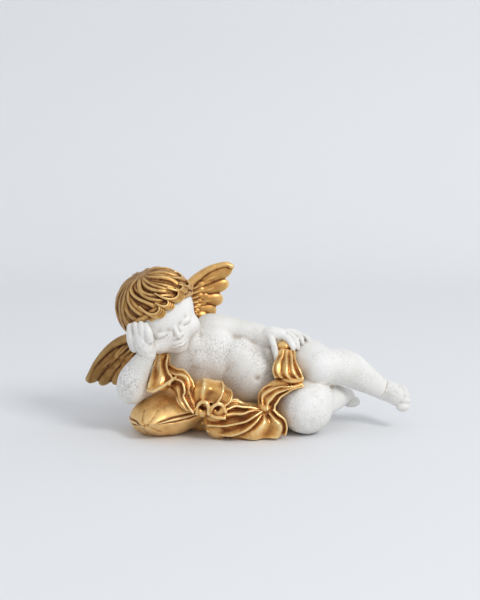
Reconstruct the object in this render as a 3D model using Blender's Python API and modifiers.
"""A sleeping angel statue: a child angel lying on its side with its head in its hand, cast in one piece
with its wings, its drapery and the pillow under its elbow.

The figure lies along X with its head at -X, faces -Y and rests on the plane Z = 0. It is modelled the way
a sculptor builds in clay: balls and tapered rolls for the flesh, rolls for the locks of hair, blades for
the feathers, and pleated sheets over a plain mass for the cloth. A voxel remesh then fuses everything into
one body, and the underside is cut flat.
"""

import math

import bmesh
import bpy
import numpy as np
from mathutils import Matrix, Vector

# Driving size: toe to wing tip. Every place and radius below is a share of it, written as the
# millimetres of a statue that is DRAWN_LENGTH long.
STATUE_LENGTH = 0.284
DRAWN_LENGTH = 284.0
MM = STATUE_LENGTH / DRAWN_LENGTH

# How finely the clay is fused, and how many triangles the finished solid keeps.
SOFT_VOXEL = 1.3 * MM
FLESH_VOXEL = 1.0 * MM
STATUE_VOXEL = 0.8 * MM
SOFT_SMOOTHING = 22
FLESH_SMOOTHING = 3
STATUE_SMOOTHING = 3
TRIANGLES = 9800
FINE_PLACE_FAVOUR = 0.03
FINE_PLACE_WEIGHT = 0.5
FLATTEN_BELOW = 0.4 * MM
# The block that cuts the underside flat.
GROUND_LENGTH, GROUND_DEPTH, GROUND_HEIGHT = 400 * MM, 300 * MM, 40 * MM
# The cloth: how thick a sheet of it is and how thick its rolled hems are, in drawn millimetres, and how
# many points a sheet has along a fold and from one fold to the next.
CLOTH_THICKNESS = 6.0
HEM_RADIUS = 1.1
POINTS_ALONG = 30
POINTS_ACROSS = 3


def turned(roll=0.0, yaw=0.0, pitch=0.0):
    """A turn in degrees: pitch nods about X, yaw turns about Z, then roll tips about Y."""
    return (
        Matrix.Rotation(math.radians(roll), 4, "Y")
        @ Matrix.Rotation(math.radians(yaw), 4, "Z")
        @ Matrix.Rotation(math.radians(pitch), 4, "X")
    )


UPRIGHT = Matrix.Identity(4)
TORSO_TURN = turned(roll=30)
HEAD_TURN = turned(roll=-27, yaw=20, pitch=18)
HEAD_MIDDLE = Vector((-75.0, -10.0, 102.0))


def on_head(side, forward, up):
    """A place given from the head's middle: to its left side, towards its face, towards its crown."""
    return HEAD_MIDDLE + HEAD_TURN.to_3x3() @ Vector((side, -forward, up))


def unit_ball(segments, rings):
    """A sphere of radius 1 m as a mesh, to be copied, scaled and placed."""
    shape = bmesh.new()
    bmesh.ops.create_uvsphere(shape, u_segments=segments, v_segments=rings, radius=1.0)
    mesh = bpy.data.meshes.new("ball")
    shape.to_mesh(mesh)
    shape.free()
    return mesh


def reshaped(mesh, rule):
    """Moves every point of the mesh to where the rule sends it."""
    for v in mesh.vertices:
        v.co = rule(v.co)
    return mesh


def add_ball(clay, place, radii, turn=UPRIGHT):
    """An ellipsoid of clay. One number for the radii makes it a sphere."""
    if isinstance(radii, (int, float)):
        radii = (radii, radii, radii)
    ball = BALL.copy()
    stretch = Matrix.Diagonal((*[r * MM for r in radii], 1))
    ball.transform(Matrix.Translation(Vector(place) * MM) @ turn @ stretch)
    clay.append(ball)


def eased(stations, steps):
    """The stations joined by a Catmull-Rom curve, with this many steps between each two."""
    rows = [np.array(s, float) for s in stations]
    rows = [2 * rows[0] - rows[1], *rows, 2 * rows[-1] - rows[-2]]
    points = []
    for a, b, c, d in zip(rows, rows[1:], rows[2:], rows[3:]):
        square = 2 * a - 5 * b + 4 * c - d
        cube = 3 * b - a - 3 * c + d
        for k in range(steps):
            t = k / steps
            points.append(0.5 * (2 * b + (c - a) * t + square * t**2 + cube * t**3))
    points.append(rows[-2])
    return points


def add_mesh_of(clay, thing):
    """Adds an object's evaluated mesh to the clay, with its caps welded, and removes the object."""
    bpy.context.scene.collection.objects.link(thing)
    graph = bpy.context.evaluated_depsgraph_get()
    clay.append(bpy.data.meshes.new_from_object(thing.evaluated_get(graph)))
    bpy.data.objects.remove(thing)


def add_rolls(clay, rolls, steps=5):
    """Tapered rolls of clay. Each is a list of stations (x, y, z, radius) along its middle."""
    curve = bpy.data.curves.new("rolls", "CURVE")
    curve.dimensions = "3D"
    curve.bevel_depth = MM
    curve.bevel_resolution = 3
    curve.use_fill_caps = True
    for stations in rolls:
        points = eased(stations, steps)
        spline = curve.splines.new("POLY")
        spline.points.add(len(points) - 1)
        for point, (x, y, z, radius) in zip(spline.points, points):
            point.co = (x * MM, y * MM, z * MM, 1)
            point.radius = max(radius, 0.2)
        for x, y, z, radius in (points[0], points[-1]):
            add_ball(clay, (x, y, z), float(max(radius, 0.2)))
    add_mesh_of(clay, bpy.data.objects.new("rolls", curve))


def add_blade(clay, root, tip, width, thickness, facing, camber=0.0):
    """A feather: a full, round-ended blade from root to tip, turned flat to the way it faces."""
    root, tip = Vector(root), Vector(tip)
    along = (tip - root).normalized()
    across = Vector(facing).cross(along).normalized()
    out = along.cross(across)
    half = (tip - root).length / 2

    def blade(p):
        s = max(-0.999, min(0.999, p.z))
        fullness = math.sqrt((1 - s**4) / (1 - s * s))
        place = (root + tip) / 2 + along * s * half + across * p.x * fullness * width / 2
        return (place + out * (p.y * fullness * thickness / 2 + camber * (1 - s * s))) * MM

    clay.append(reshaped(SMALL_BALL.copy(), blade))


def add_cloth(clay, folds, sink, hems=()):
    """A sheet of clay through its fold lines, with a hollow of this depth between each two folds, and
    with the numbered folds rolled into hems."""
    lines = []
    for fold in folds:
        path = np.array(eased(fold, 6))
        shares = np.linspace(0, len(path) - 1, POINTS_ALONG)
        line = np.array([np.interp(shares, np.arange(len(path)), side) for side in path.T]).T
        if lines:
            gap = np.linalg.norm(line - lines[-1], axis=1)
            hollow = (line + lines[-1]) / 2
            hollow[:, 1] += sink * np.minimum(1, gap / CLOTH_THICKNESS)
            lines.append(hollow)
        lines.append(line)
    rows = eased([line.ravel() for line in lines], POINTS_ACROSS)
    sheet = bmesh.new()
    bmesh.ops.create_grid(sheet, x_segments=POINTS_ALONG - 1, y_segments=len(rows) - 1, size=1)
    for vert, place in zip(list(sheet.verts), np.array(rows).reshape(-1, 3)):
        vert.co = Vector(place) * MM
    back = bmesh.ops.extrude_face_region(sheet, geom=list(sheet.faces), use_keep_orig=True)["geom"]
    back_points = [part for part in back if isinstance(part, bmesh.types.BMVert)]
    bmesh.ops.translate(sheet, verts=back_points, vec=(0, CLOTH_THICKNESS * MM, 0))
    bmesh.ops.recalc_face_normals(sheet, faces=list(sheet.faces))
    mesh = bpy.data.meshes.new("sheet")
    sheet.to_mesh(mesh)
    sheet.free()
    clay.append(mesh)
    if hems:
        add_rolls(clay, [[(*place, HEM_RADIUS) for place in folds[k]] for k in hems])


def press(mesh, lines):
    """Presses grooves into the skin: (places along the line, reach, depth). One place alone is a dent."""
    count = len(mesh.vertices)
    places = np.empty(count * 3, np.float32)
    normals = np.empty(count * 3, np.float32)
    mesh.vertices.foreach_get("co", places)
    mesh.vertex_normals.foreach_get("vector", normals)
    places, normals = places.reshape(-1, 3), normals.reshape(-1, 3)
    for stations, reach, depth in lines:
        path = eased(stations, 5) if len(stations) > 1 else [np.array(stations[0])]
        nearest = np.full(count, np.inf, np.float32)
        for point in path:
            np.minimum(nearest, ((places - point * MM) ** 2).sum(axis=1), out=nearest)
        places -= normals * (depth * MM * np.exp(-2.0 * nearest / (reach * MM) ** 2))[:, None]
    mesh.vertices.foreach_set("co", places.ravel())
    mesh.update()


def fused(name, clay, voxel, smoothing, grooves=()):
    """The clay as one mesh: remeshed so that everything that overlaps is one skin, smoothed, and pressed."""
    pile = bmesh.new()
    for lump in clay:
        pile.from_mesh(lump)
        bpy.data.meshes.remove(lump)
    mesh = bpy.data.meshes.new(name)
    pile.to_mesh(mesh)
    pile.free()
    body = bpy.data.objects.new(name, mesh)
    bpy.context.scene.collection.objects.link(body)
    remesh = body.modifiers.new("one skin", "REMESH")
    remesh.mode = "VOXEL"
    remesh.voxel_size = voxel
    soften = body.modifiers.new("soften", "SMOOTH")
    soften.factor = 0.5
    soften.iterations = smoothing
    graph = bpy.context.evaluated_depsgraph_get()
    skin = bpy.data.meshes.new_from_object(body.evaluated_get(graph))
    bpy.data.objects.remove(body)
    bpy.data.meshes.remove(mesh)
    press(skin, grooves)
    return skin


def model_torso(clay):
    """Ribcage, belly, flank, hips and seat, with the shoulders and the neck."""
    add_ball(clay, (-27, 9, 61), (30, 22, 27), TORSO_TURN)
    add_ball(clay, (4, 4, 45), (27, 26, 27), TORSO_TURN)
    add_ball(clay, (12, 9, 60), (25, 19, 18), TORSO_TURN)
    add_ball(clay, (36, 12, 36), (23, 22, 27), TORSO_TURN)
    add_ball(clay, (-24, 1, 68), (20, 11.5, 17), TORSO_TURN)
    add_ball(clay, (-39, 1, 54), (20, 11.5, 17), TORSO_TURN)
    add_ball(clay, (-53, 0, 61), (16, 12, 18), TORSO_TURN)
    add_ball(clay, (-45, -1, 67), (14, 11, 14), TORSO_TURN)
    add_ball(clay, (-42, -2, 61), (13, 11.5, 13), TORSO_TURN)
    add_ball(clay, (-6, -2, 61), (18, 14, 17), TORSO_TURN)
    add_ball(clay, (45, 22, 47), 20)
    add_ball(clay, (37, 21, 26), 21)
    add_rolls(clay, [[(-44, 9, 64, 19), (-55, 2, 78, 15), (-64, -4, 90, 15)]])
    add_rolls(clay, [[(-60, 10, 44, 15), (-46, 12, 62, 17), (-33, 10, 84, 14)]])


def model_limbs(clay):
    """The arms without their hands and the legs without their feet."""
    left_arm = [(-31, 9, 86, 12.5), (-12, 9, 84, 10.8), (6, 5, 81, 10), (16, -1, 80, 8.8), (28, -6, 79, 7)]
    add_rolls(clay, [left_arm])
    add_rolls(clay, [[(-60, 8, 46, 14), (-81, -8, 42, 13.5), (-97, -24, 41, 13.6)]])
    add_rolls(clay, [[(-97.5, -27, 40, 14), (-96, -32, 50, 12.8), (-89, -36, 63, 9.6), (-83, -39, 73, 7.4)]])
    add_rolls(clay, [[(42, 10, 57, 21), (54, -6, 58, 20), (62, -18, 57, 16.5)]])
    add_rolls(clay, [[(64, -16, 56, 15.5), (84, -9, 54, 16), (100, -3, 44, 13), (117, 3, 32, 9)]])
    add_rolls(clay, [[(36, 8, 28, 23), (45, -10, 25, 24), (50, -23, 23, 24)]])
    add_ball(clay, (57, -24, 29), (17, 19, 17))
    add_rolls(clay, [[(62, -16, 26, 15), (74, -2, 26, 12.5), (83, 12, 24, 9)]])


LEFT_HAND = [
    [(8, 3, 80, 5.5), (15, -2, 81, 6.4), (22, -7, 83, 6.6), (29, -9, 83, 5.5)],
    [(20, -10, 82, 3.2), (22, -16, 77, 3), (24, -20, 70, 2.7), (25, -21, 64, 2.2)],
    [(29, -10, 83, 3.4), (35, -15, 80, 3), (38, -19, 76, 2.7), (39, -20, 73, 2.2)],
    [(32, -7, 84, 3.2), (38, -12, 82, 2.9), (42, -16, 78, 2.6), (43, -17, 73, 2.1)],
    [(35, -4, 85, 3), (43, -9, 82, 2.7), (46, -12, 80, 2.4), (47, -13, 77, 2)],
    [(39, -1, 84, 2.8), (48, -5, 81, 2.5), (51, -7, 80, 2.2), (53, -8, 77, 1.8)],
]
RIGHT_HAND = [
    [(-83, -39, 72, 7), (-86, -41, 81, 8), (-88, -41, 87, 8)],
    [(-94, -38, 78, 4.6), (-96, -40, 86, 4.8), (-97, -38, 95, 3.6)],
    [(-90, -43, 85, 3.8), (-91, -44, 92, 3.4), (-93, -42, 98, 2.6)],
    [(-86, -45, 86, 3.8), (-87, -46, 94, 3.4), (-88, -44, 99, 2.6)],
    [(-81, -46, 86, 3.8), (-82, -48, 93, 3.4), (-84, -45, 98, 2.6)],
]
LEFT_TOES = [(134, -11, 20, 4.4), (136, -11, 25.5, 3.5), (136, -10, 30, 3.1), (135.5, -8, 33.5, 2.8),
             (134, -6, 36, 2.5)]


def model_hands(clay):
    """The left hand on the thigh, and the right one under the cheek: a palm and fingers each."""
    add_rolls(clay, LEFT_HAND)
    add_rolls(clay, RIGHT_HAND)


def model_feet(clay):
    """The left foot with its row of toes, and the right one tucked behind the calf."""
    foot = [(103, -2, 42, 9.5), (112, 2, 35.5, 9), (118, 3, 31.5, 8.8), (125, 1, 30, 9.4), (130, -5, 28, 9)]
    add_rolls(clay, [foot])
    add_ball(clay, (123, 8, 30), (8, 9, 9))
    for x, y, z, r in LEFT_TOES:
        add_ball(clay, (x, y, z), (r * 1.35, r, r))
    add_ball(clay, (86, 19, 22), (9, 9, 8))
    add_ball(clay, (92, 20, 17), (8, 8, 5))


def model_skull(clay):
    """Skull, jaw, cheeks, chin and the round of the mouth: the soft forms of the head."""
    add_ball(clay, on_head(0, -1, 3), (31, 32.5, 31), HEAD_TURN)
    add_ball(clay, on_head(0, 8, -11), (26, 22.5, 22), HEAD_TURN)
    add_ball(clay, on_head(0, 21, -27), (8, 6.5, 6.5), HEAD_TURN)
    add_ball(clay, on_head(0, 23.5, -18.5), (10, 8, 8), HEAD_TURN)
    for side in (-1, 1):
        add_ball(clay, on_head(14 * side, 16.5, -15), (11.5, 11.5, 11), HEAD_TURN)


def model_features(clay):
    """Nose, lids, brows and lips, laid on the soft forms."""
    nose = [(0, 28.4, -2, 2.2), (0, 30.2, -7.5, 2.1), (0, 31.4, -12, 2.9)]
    add_rolls(clay, [[(*on_head(x, y, z), r) for x, y, z, r in nose]])
    for side in (-1, 1):
        add_ball(clay, on_head(11.5 * side, 24.6, -5.5), (6, 4.8, 4), HEAD_TURN)
        add_ball(clay, on_head(3.3 * side, 29.6, -13), 2.1)
        brow = [(19, 21.8, -0.5, 1.4), (12, 27, 2.6, 1.8), (5, 29, 2.2, 1.5)]
        upper_lip = [(-0.5, 30, -19, 1.5), (5.2, 27.8, -19.6, 0.9)]
        lower_lip = [(-0.5, 29.3, -21.8, 1.8), (4.2, 27.6, -21.2, 1.1)]
        for line in (brow, upper_lip, lower_lip):
            add_rolls(clay, [[(*on_head(x * side, y, z), r) for x, y, z, r in line]])


def hairline(azimuth):
    """How far down from the crown the hair reaches, in degrees, at an angle round the head from the
    face: high over the forehead, lower past the ears, lowest at the nape."""
    back = 0.5 - 0.5 * math.cos(math.radians(azimuth))
    return 72 + 60 * back


def on_hair(azimuth, polar, lift=0.0):
    """A place on the hair, from its angle round the head and its angle down from the crown."""
    a, p = math.radians(azimuth), math.radians(polar)
    return on_head(
        (33.5 + lift) * math.sin(p) * math.sin(a),
        -2 + (34.5 + lift) * math.sin(p) * math.cos(a),
        4 + (33 + lift) * math.cos(p),
    )


LOCKS = 24
# The curls along the forehead and by the ear: angle round the head, angle down from the crown.
CURLS = [(70, 79), (80, 66), (92, 92), (46, 70), (26, 72), (6, 74), (-14, 77)]
CURL_SHAPE = ((-13, -14, 2.8), (-6, -4, 3.2), (2, 0, 3.2), (7, -4, 2.6), (4, -8, 2.2))


def on_lock(k, share, lift):
    """A place on a lock, from its root at the crown (0) to its tip (1). The fringe is swept to the
    statue's left."""
    azimuth = 360 * k / LOCKS
    front = max(0.0, math.cos(math.radians(azimuth)))
    polar = 8 + (hairline(azimuth) - 12 + 3 * math.sin(5 * k)) * share
    swept = azimuth + front * (78 * share**1.3 - 60) + 5 * math.sin(7 * share + 2.4 * k)
    return on_hair(swept, polar, lift)


def model_hair(clay):
    """A cap of hair, locks that run down over it from the crown, and curls on a roll round the forehead."""
    add_ball(clay, on_head(0, -5, 5), (32, 31, 30.5), HEAD_TURN)
    add_ball(clay, on_head(0, -2.5, 9), (32, 31.5, 28.5), HEAD_TURN)
    rolls = []
    for k in range(LOCKS):
        stations = []
        for step in range(10):
            share = step / 9
            radius = 1.4 + (2.6 + 0.6 * math.sin(3 * k)) * math.sin(math.pi * min(1.0, 0.12 + share * 0.8))
            stations.append((*on_lock(k, share, -1.6), radius))
        rolls.append(stations)
    rolls.append([(*on_hair(azimuth, hairline(azimuth) - 7, -2.4), 3.4) for azimuth in range(-60, 91, 15)])
    for azimuth, polar in CURLS:
        rolls.append([(*on_hair(azimuth + a, polar + p, -0.4), radius) for a, p, radius in CURL_SHAPE])
    add_rolls(clay, rolls, steps=3)


def hair_partings():
    """The lines between neighbouring locks."""
    partings = []
    for k in range(LOCKS):
        path = [(on_lock(k, share, 1) + on_lock(k + 1, share, 1)) / 2 for share in (0.15, 0.4, 0.65, 0.9)]
        partings.append((path, 1.9, 1.4))
    return partings


LEFT_WING_EDGE = [(-46, 26, 84, 6), (-54, 32, 104, 5.5), (-50, 36, 118, 5), (-35, 40, 130, 4),
                  (-20, 42, 135, 3.4), (-14, 42, 134, 2.8)]
LEFT_WING_ROOTS = [(-50, 36, 116), (-48, 28, 90)]
LEFT_WING_TIPS = [(-13, 42, 133), (-16, 41, 120), (-21, 39, 106), (-27, 37, 96), (-34, 33, 90)]
RIGHT_WING_EDGE = [(-72, 24, 58, 6), (-88, 28, 69, 5.5), (-104, 31, 71, 5), (-119, 33, 64, 4),
                   (-132, 34, 50, 3.4), (-141, 34, 34, 2.8)]
RIGHT_WING_ROOTS = [(-106, 31, 66), (-80, 25, 57)]
RIGHT_WING_TIPS = [(-142, 34, 31), (-131, 33, 29), (-119, 31, 30), (-108, 29, 32), (-98, 27, 36)]


def long_feathers(roots, tips):
    """The root and the tip of each long feather of a wing."""
    last = len(tips) - 1
    return [(Vector(roots[0]).lerp(Vector(roots[1]), k / last), Vector(tip)) for k, tip in enumerate(tips)]


def feather_partings(roots, tips):
    """The lines between neighbouring long feathers, on the front and on the back of a wing."""
    partings = []
    feathers = long_feathers(roots, tips)
    for (root, tip), (next_root, next_tip) in zip(feathers, feathers[1:]):
        for side in (-1, 1):
            path = []
            for share, out in ((0.1, 4.5), (0.5, 4.0), (0.9, 2.5)):
                middle = (root.lerp(tip, share) + next_root.lerp(next_tip, share)) / 2
                path.append(middle + Vector((0, side * out, 0)))
            partings.append((path, 1.9, 1.3))
    return partings


def model_wing(clay, edge, roots, tips):
    """A wing: a thick leading edge, long feathers fanned from it, and two rows of short ones over them,
    front and back."""
    facing = Vector((0, -1, 0))
    add_rolls(clay, [edge])
    for root, tip in long_feathers(roots, tips):
        add_blade(clay, root, tip, 12.5, 5.5, facing, camber=0.5)
        for share, out, width in ((0.66, 1.6, 12), (0.4, 2.6, 10)):
            for side in (-1, 1):
                start = root - (tip - root) * 0.15 + facing * side * out * 0.5
                add_blade(clay, start, root.lerp(tip, share) + facing * side * out, width, 4.5, facing)


PILLOW_MIDDLE = Vector((-66, -17, 17))
PILLOW_TURN = turned(roll=-9, yaw=22).to_3x3()
PILLOW_HALVES = (35, 29.5, 19)
PILLOW_CORNERS = (45, 135, 225, 315)


def on_pillow(azimuth, height):
    """A place on the pillow, from the angle round it in degrees and the height above its seam, -1 to 1.
    Its sides pull in between the corners, and it is thin towards them. The corner by the elbow is blunt."""
    a = math.radians(azimuth)
    corner = abs(math.sin(2 * a))
    pointed = 0.1 if 90 < azimuth % 360 < 180 else 0.25
    reach = math.sqrt(1 - height**2) * (1 + pointed * corner**5)
    puff = math.copysign(abs(height) ** (0.9 + 0.8 * corner**4), height)
    side, front, up = PILLOW_HALVES
    place = Vector((side * reach * math.cos(a), front * reach * math.sin(a), up * puff))
    return PILLOW_MIDDLE + PILLOW_TURN @ place


def model_pillow(clay):
    """A plump square cushion with a piped seam round its middle."""

    def cushion(p):
        return on_pillow(math.degrees(math.atan2(p.y, p.x)), max(-1.0, min(1.0, p.z))) * MM

    clay.append(reshaped(unit_ball(64, 40), cushion))
    add_rolls(clay, [[(*on_pillow(9 * k, 0), 1.2) for k in range(41)]], steps=1)


def pillow_creases():
    """The lines above and below the seam, and the creases that fan out from each corner."""
    creases = []
    for corner in PILLOW_CORNERS:
        for side in (-1, 1):
            creases.append(([on_pillow(corner + s, 0.12 * side) for s in range(-90, 91, 10)], 1.3, 0.7))
            for spread in (-14, 12):
                path = [on_pillow(corner + spread * s, side * (0.12 + 0.5 * s)) for s in (0.1, 0.5, 1.0)]
                creases.append((path, 2.0, 0.6))
    return creases


# The ridges of the cloth, as places along each. A sheet runs through them, with a hollow between each two.
FALL = [
    [(-76, -20, 70), (-79, -27, 61), (-81, -34, 53), (-83, -40, 47), (-83, -42, 42)],
    [(-73, -24, 70), (-74, -32, 63), (-73, -39, 56), (-73, -43, 51), (-75, -47, 44)],
    [(-67, -24, 69), (-68, -32, 62), (-66, -40, 57), (-63, -43, 53), (-65, -46, 48)],
    [(-65, -19, 67), (-65, -26, 60), (-62, -34, 57), (-58, -39, 55), (-60, -42, 53)],
]
FALL_HEM = [(-83, -42, 42, 1.4), (-79, -46, 42, 1.6), (-75, -47, 44, 1.6), (-68, -46, 48, 1.6),
            (-60, -43, 53, 1.4)]
BAND = [
    [(-66, -28, 61), (-60, -34, 59), (-53, -38, 58), (-48, -41, 53), (-45, -44, 47), (-46, -47, 40),
     (-41, -50, 27)],
    [(-66, -38, 58), (-61, -42, 56), (-55, -44, 56), (-50, -46, 54), (-48, -48, 48), (-48, -49, 42),
     (-43, -53, 28)],
    [(-63, -42, 51), (-59, -44, 52), (-54, -47, 50), (-52, -50, 43), (-53, -51, 39), (-50, -53, 33),
     (-45, -54, 26)],
    [(-63, -39, 45), (-60, -44, 44), (-58, -47, 41), (-57, -49, 37), (-55, -52, 33), (-50, -53, 27)],
    [(-65, -34, 42), (-62, -39, 40), (-60, -43, 37), (-59, -46, 34), (-56, -49, 30), (-52, -51, 27)],
]
HUMP = [
    [(-47, -42, 46), (-47, -47, 40), (-45, -50, 34), (-41, -52, 29)],
    [(-42, -42, 49), (-43, -48, 45), (-43, -50, 40), (-40, -52, 34)],
    [(-36, -42, 52), (-36, -52, 48), (-37, -54, 41), (-37, -54, 35)],
    [(-28, -42, 50), (-29, -49, 46), (-30, -51, 41), (-31, -53, 34)],
    [(-21, -42, 49), (-20, -51, 45), (-22, -54, 39), (-26, -54, 33)],
    [(-19, -39, 43), (-14, -43, 42), (-13, -47, 38), (-15, -50, 34), (-19, -52, 31)],
]
SPREAD = [
    [(11, -38, 26), (3, -39, 28), (-4, -40, 31), (-9, -41, 34), (-16, -43, 34)],
    [(11, -43, 26), (3, -45, 28), (-4, -47, 29), (-10, -48, 30), (-17, -51, 28)],
    [(11, -46, 26), (3, -49, 26), (-4, -51, 24), (-11, -51, 24), (-20, -53, 23), (-30, -53, 21)],
    [(12, -47, 25), (6, -51, 22), (-1, -52, 18), (-9, -52, 16), (-20, -52, 14), (-33, -50, 14)],
    [(13, -47, 24), (8, -52, 18), (2, -54, 13), (-5, -53, 8), (-17, -50, 4), (-33, -46, 7)],
    [(14, -47, 23), (14, -52, 18), (12, -54, 14), (9, -53, 9), (4, -49, 1)],
    [(18, -48, 24), (23, -51, 19), (27, -52, 15), (28, -51, 10), (25, -48, 2)],
    [(22, -45, 26), (26, -46, 22), (31, -46, 18), (33, -45, 11), (32, -43, 4)],
]
SASH = [
    [(47, -32, 48), (38, -33, 46), (29, -33, 46), (21, -33, 45), (14, -33, 42), (10, -34, 36), (10, -40, 26)],
    [(47, -36, 47), (37, -39, 45), (28, -40, 45), (22, -41, 43), (16, -41, 40), (12, -42, 36), (13, -45, 27)],
    [(47, -37, 46), (36, -41, 43), (29, -43, 41), (24, -44, 39), (20, -45, 35), (17, -45, 31), (17, -47, 26)],
    [(47, -35, 44), (38, -38, 42), (33, -39, 39), (28, -40, 36), (25, -42, 32), (23, -43, 29), (23, -44, 25)],
]
BUNCH = [
    [(28, -19, 72), (26, -23, 68), (23, -27, 63), (21, -31, 57), (23, -33, 50)],
    [(30, -23, 73), (29, -27, 68), (25, -33, 62), (25, -36, 56), (28, -36, 51)],
    [(34, -24, 73), (33, -28, 69), (33, -35, 62), (33, -39, 55), (36, -38, 50)],
    [(37, -23, 72), (38, -28, 68), (38, -33, 63), (39, -37, 57), (43, -38, 51)],
    [(40, -19, 71), (40, -23, 67), (41, -27, 63), (44, -31, 57), (47, -33, 50)],
]
# Where the hump ends, two folds turn up into open mouths, with a ridge below them.
MOUTHS = [
    [(-42, -50, 24, 1.6), (-41, -52, 31, 1.9), (-37, -53, 35, 2.0), (-33, -54, 33, 1.9), (-32, -54, 25, 1.7)],
    [(-31, -52, 24, 1.6), (-29, -54, 30, 1.9), (-25, -54, 33, 2.0), (-21, -53, 32, 1.9), (-18, -52, 26, 1.6)],
    [(-33, -52, 25, 1.7), (-27, -53, 22, 1.9), (-19, -53, 21, 1.5)],
]
MOUTH_HOLLOWS = [([(-37, -52, 29)], 3.4, 3.0), ([(-25, -53, 29)], 3.2, 2.5), ([(-16, -44, 38)], 2.0, 1.5)]
# The mass of clay behind the sheets: place, radii and roll.
DRAPERY_MASSES = [
    ((-18, 6, 10), (56, 34, 16), 0),
    ((-24, 12, 26), (42, 20, 22), 10),
    ((-65, -33, 50), (6, 8, 8), 0),
    ((-73, -19, 57), (7, 10, 14), 10),
    ((-72, -30, 47), (9, 12, 8), 0),
    ((-53, -34, 41), (9, 12, 14), -20),
    ((-33, -36, 38), (12, 13, 12), 0),
    ((-24, -37, 14), (13, 13, 15), 0),
    ((0, -26, 10), (30, 22, 17), 0),
    ((15, -38, 26), (7, 8, 6), 0),
    ((20, -31, 12), (12, 14, 11), 0),
    ((27, -28, 42), (14, 10, 7), -20),
    ((16, -31, 33), (7, 9, 9), 0),
    ((31, -18, 62), (7, 9, 12), 0),
    ((33, -25, 54), (12, 9, 5), 0),
    ((38, -31, 49), (10, 7, 4), 0),
    ((32, -12, 73), (8, 7, 6), 0),
    ((-37, -47, 28), (7, 6, 8), 0),
    ((-24, -48, 28), (8, 6, 8), 0),
    ((-26, -45, 22), (10, 8, 7), 0),
]


def model_drapery(clay):
    """The cloth: it falls past the arm, humps up beside the pillow, spreads on the ground, crosses the
    hip as a sash and ends bunched in the hand. A plain mass of it fills the space under the body."""
    for place, radii, roll in DRAPERY_MASSES:
        add_ball(clay, place, radii, turned(roll=roll))
    add_cloth(clay, FALL, 3.0, hems=(2,))
    add_cloth(clay, BAND, 2.6, hems=(0, 2))
    add_cloth(clay, HUMP, 0.5, hems=(4, 5))
    add_cloth(clay, SPREAD, 3.2, hems=(1, 3, 7))
    add_cloth(clay, SASH, 2.4, hems=(0, 3))
    add_cloth(clay, BUNCH, 2.4, hems=(4,))
    add_rolls(clay, [FALL_HEM, *MOUTHS])


def between(fingers, out):
    """The lines between neighbouring fingers, moved outwards to the skin."""
    lines = []
    for one, other in zip(fingers, fingers[1:]):
        lines.append([(Vector(a[:3]) + Vector(b[:3])) / 2 + Vector(out) for a, b in zip(one, other)])
    return lines


# What is pressed into the skin, each as places along a line, how far it reaches and how deep it goes.
# In the soft flesh that is the eye sockets, the chin's hollow, the navel and the dimple of the knee.
FLESH_GROOVES = [([on_head(0, 28, -24.5)], 2.5, 0.6), ([(9, -22, 47)], 3.5, 1.8), ([(53, -43, 15)], 5, 1.5)]
for side in (-1, 1):
    FLESH_GROOVES.append(([on_head(5.5 * side, 28.5, -3.5)], 3.5, 1.4))
    FLESH_GROOVES.append(([on_head(12 * side, 27, -0.6)], 3.5, 1.0))
# In the finished skin it is the closed lids, the lips, and the gaps between the fingers.
LID = ((5.5, 28, -7), (9, 29, -8.6), (13, 27.5, -8.6), (17, 24.5, -7))
LIPS = ((-6.5, 28, -20), (-3, 30, -20.6), (0, 31, -20.2), (3, 30, -20.6), (6.5, 28, -20))
SKIN_GROOVES = [([on_head(*place) for place in LIPS], 1.5, 1.2)]
for side in (-1, 1):
    SKIN_GROOVES.append(([on_head(x * side, y, z) for x, y, z in LID], 1.5, 1.2))
SKIN_GROOVES += [(line, 1.4, 1.6) for line in between(RIGHT_HAND[1:], (0, -3.5, 0))]
SKIN_GROOVES += [(line, 1.3, 1.2) for line in between(LEFT_HAND[2:], (0, -2.5, 2))]


def model_statue():
    """All of the clay, fused in three rounds so that the flesh stays soft and the gilt pieces crisp."""
    soft = []
    model_torso(soft)
    model_limbs(soft)
    model_skull(soft)
    flesh = [fused("soft", soft, SOFT_VOXEL, SOFT_SMOOTHING)]
    for part in (model_hands, model_feet, model_features):
        part(flesh)
    cast = [fused("flesh", flesh, FLESH_VOXEL, FLESH_SMOOTHING, FLESH_GROOVES)]
    model_hair(cast)
    model_wing(cast, LEFT_WING_EDGE, LEFT_WING_ROOTS, LEFT_WING_TIPS)
    model_wing(cast, RIGHT_WING_EDGE, RIGHT_WING_ROOTS, RIGHT_WING_TIPS)
    model_pillow(cast)
    model_drapery(cast)
    grooves = SKIN_GROOVES + pillow_creases() + MOUTH_HOLLOWS + hair_partings()
    grooves += feather_partings(LEFT_WING_ROOTS, LEFT_WING_TIPS)
    grooves += feather_partings(RIGHT_WING_ROOTS, RIGHT_WING_TIPS)
    return fused("angel_statue", cast, STATUE_VOXEL, STATUE_SMOOTHING, grooves)


def keep_largest_shell(mesh):
    """Drops every shell of the mesh but the one with the most faces."""
    work = bmesh.new()
    work.from_mesh(mesh)
    left = set(work.verts)
    shells = []
    while left:
        shell = set()
        front = [left.pop()]
        while front:
            vert = front.pop()
            shell.add(vert)
            for edge in vert.link_edges:
                other = edge.other_vert(vert)
                if other in left:
                    left.remove(other)
                    front.append(other)
        shells.append(shell)
    shells.sort(key=len)
    for shell in shells[:-1]:
        bmesh.ops.delete(work, geom=list(shell), context="VERTS")
    work.to_mesh(mesh)
    work.free()


def applied(body):
    """The mesh of a body with its modifiers in it, in place of the one it had."""
    graph = bpy.context.evaluated_depsgraph_get()
    mesh = bpy.data.meshes.new_from_object(body.evaluated_get(graph))
    body.modifiers.clear()
    body.data = mesh


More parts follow.
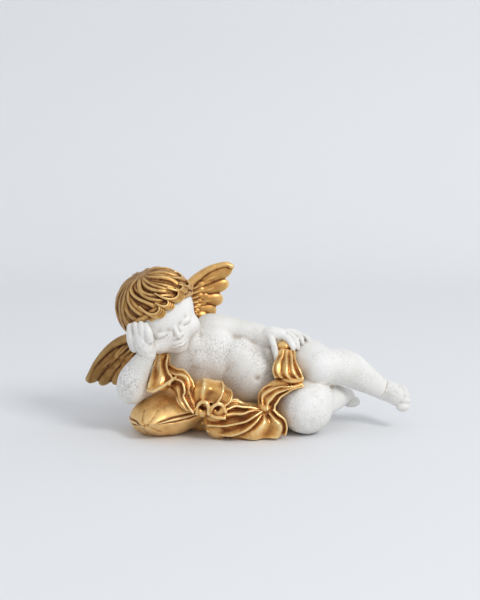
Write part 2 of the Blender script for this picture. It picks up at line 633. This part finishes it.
def cut_flat(body, cutter):
    """Cuts away all of the body that lies inside the cutter."""
    cut = body.modifiers.new("flat underside", "BOOLEAN")
    cut.operation = "DIFFERENCE"
    cut.solver = "EXACT"
    cut.object = cutter
    applied(body)


# Where the fine modelling is, and how far round it: the face, the two hands and the toes.
FINE_PLACES = [(on_head(0, 28, -10), 24), ((-89, -42, 88), 15), ((38, -13, 79), 17), ((135, -10, 27), 10)]


def thin_out(body, triangles):
    """Thins the body's skin to a number of triangles, with more of them kept in the fine places."""
    faces = bmesh.new()
    faces.from_mesh(body.data)
    bmesh.ops.triangulate(faces, faces=faces.faces)
    count = len(faces.faces)
    faces.to_mesh(body.data)
    faces.free()
    freely = body.vertex_groups.new(name="thinned freely")
    fine = []
    coarse = []
    for vert in body.data.vertices:
        near = any((vert.co / MM - Vector(place)).length < reach for place, reach in FINE_PLACES)
        (fine if near else coarse).append(vert.index)
    freely.add(fine, FINE_PLACE_WEIGHT, "REPLACE")
    freely.add(coarse, 1.0, "REPLACE")
    thin = body.modifiers.new("triangle budget", "DECIMATE")
    thin.ratio = triangles / count
    thin.use_collapse_triangulate = True
    thin.vertex_group = freely.name
    thin.vertex_group_factor = FINE_PLACE_FAVOUR
    applied(body)
    for vert in body.data.vertices:
        if vert.co.z < FLATTEN_BELOW:
            vert.co.z = 0.0


for old in list(bpy.data.objects):
    bpy.data.objects.remove(old)
pieces = bpy.data.collections.new("sleeping angel statue")
cutters = bpy.data.collections.new("cutters")
for collection in (pieces, cutters):
    bpy.context.scene.collection.children.link(collection)

BALL = unit_ball(44, 28)
SMALL_BALL = unit_ball(16, 16)
statue = bpy.data.objects.new("angel_statue", model_statue())
pieces.objects.link(statue)

bpy.ops.mesh.primitive_cube_add(size=1)
ground = bpy.context.object
ground.name = "ground"
ground.dimensions = (GROUND_LENGTH, GROUND_DEPTH, GROUND_HEIGHT)
ground.location.z = -GROUND_HEIGHT / 2
for collection in list(ground.users_collection):
    collection.objects.unlink(ground)
cutters.objects.link(ground)
ground.hide_render = True
ground.display_type = "WIRE"
cut_flat(statue, ground)
keep_largest_shell(statue.data)
thin_out(statue, TRIANGLES)
statue.vertex_groups.clear()

# The statue stands with the middle of its outline over the origin.
corners = np.array([corner[:] for corner in statue.bound_box])
low, high = corners.min(axis=0), corners.max(axis=0)
statue.data.transform(Matrix.Translation((-(low[0] + high[0]) / 2, -(low[1] + high[1]) / 2, -low[2])))
statue.data.name = "angel_statue"
statue.data.shade_smooth()

paint = bpy.data.materials.new("painted cast stone")
paint.use_nodes = True
shader = paint.node_tree.nodes["Principled BSDF"]
shader.inputs["Base Color"].default_value = (0.82, 0.80, 0.74, 1.0)
shader.inputs["Roughness"].default_value = 0.55
statue.data.materials.clear()
statue.data.materials.append(paint)
for spare in list(bpy.data.meshes):
    if spare.users == 0:
        bpy.data.meshes.remove(spare)
print("triangles:", len(statue.data.polygons), "size:", *(round(side, 4) for side in statue.dimensions))
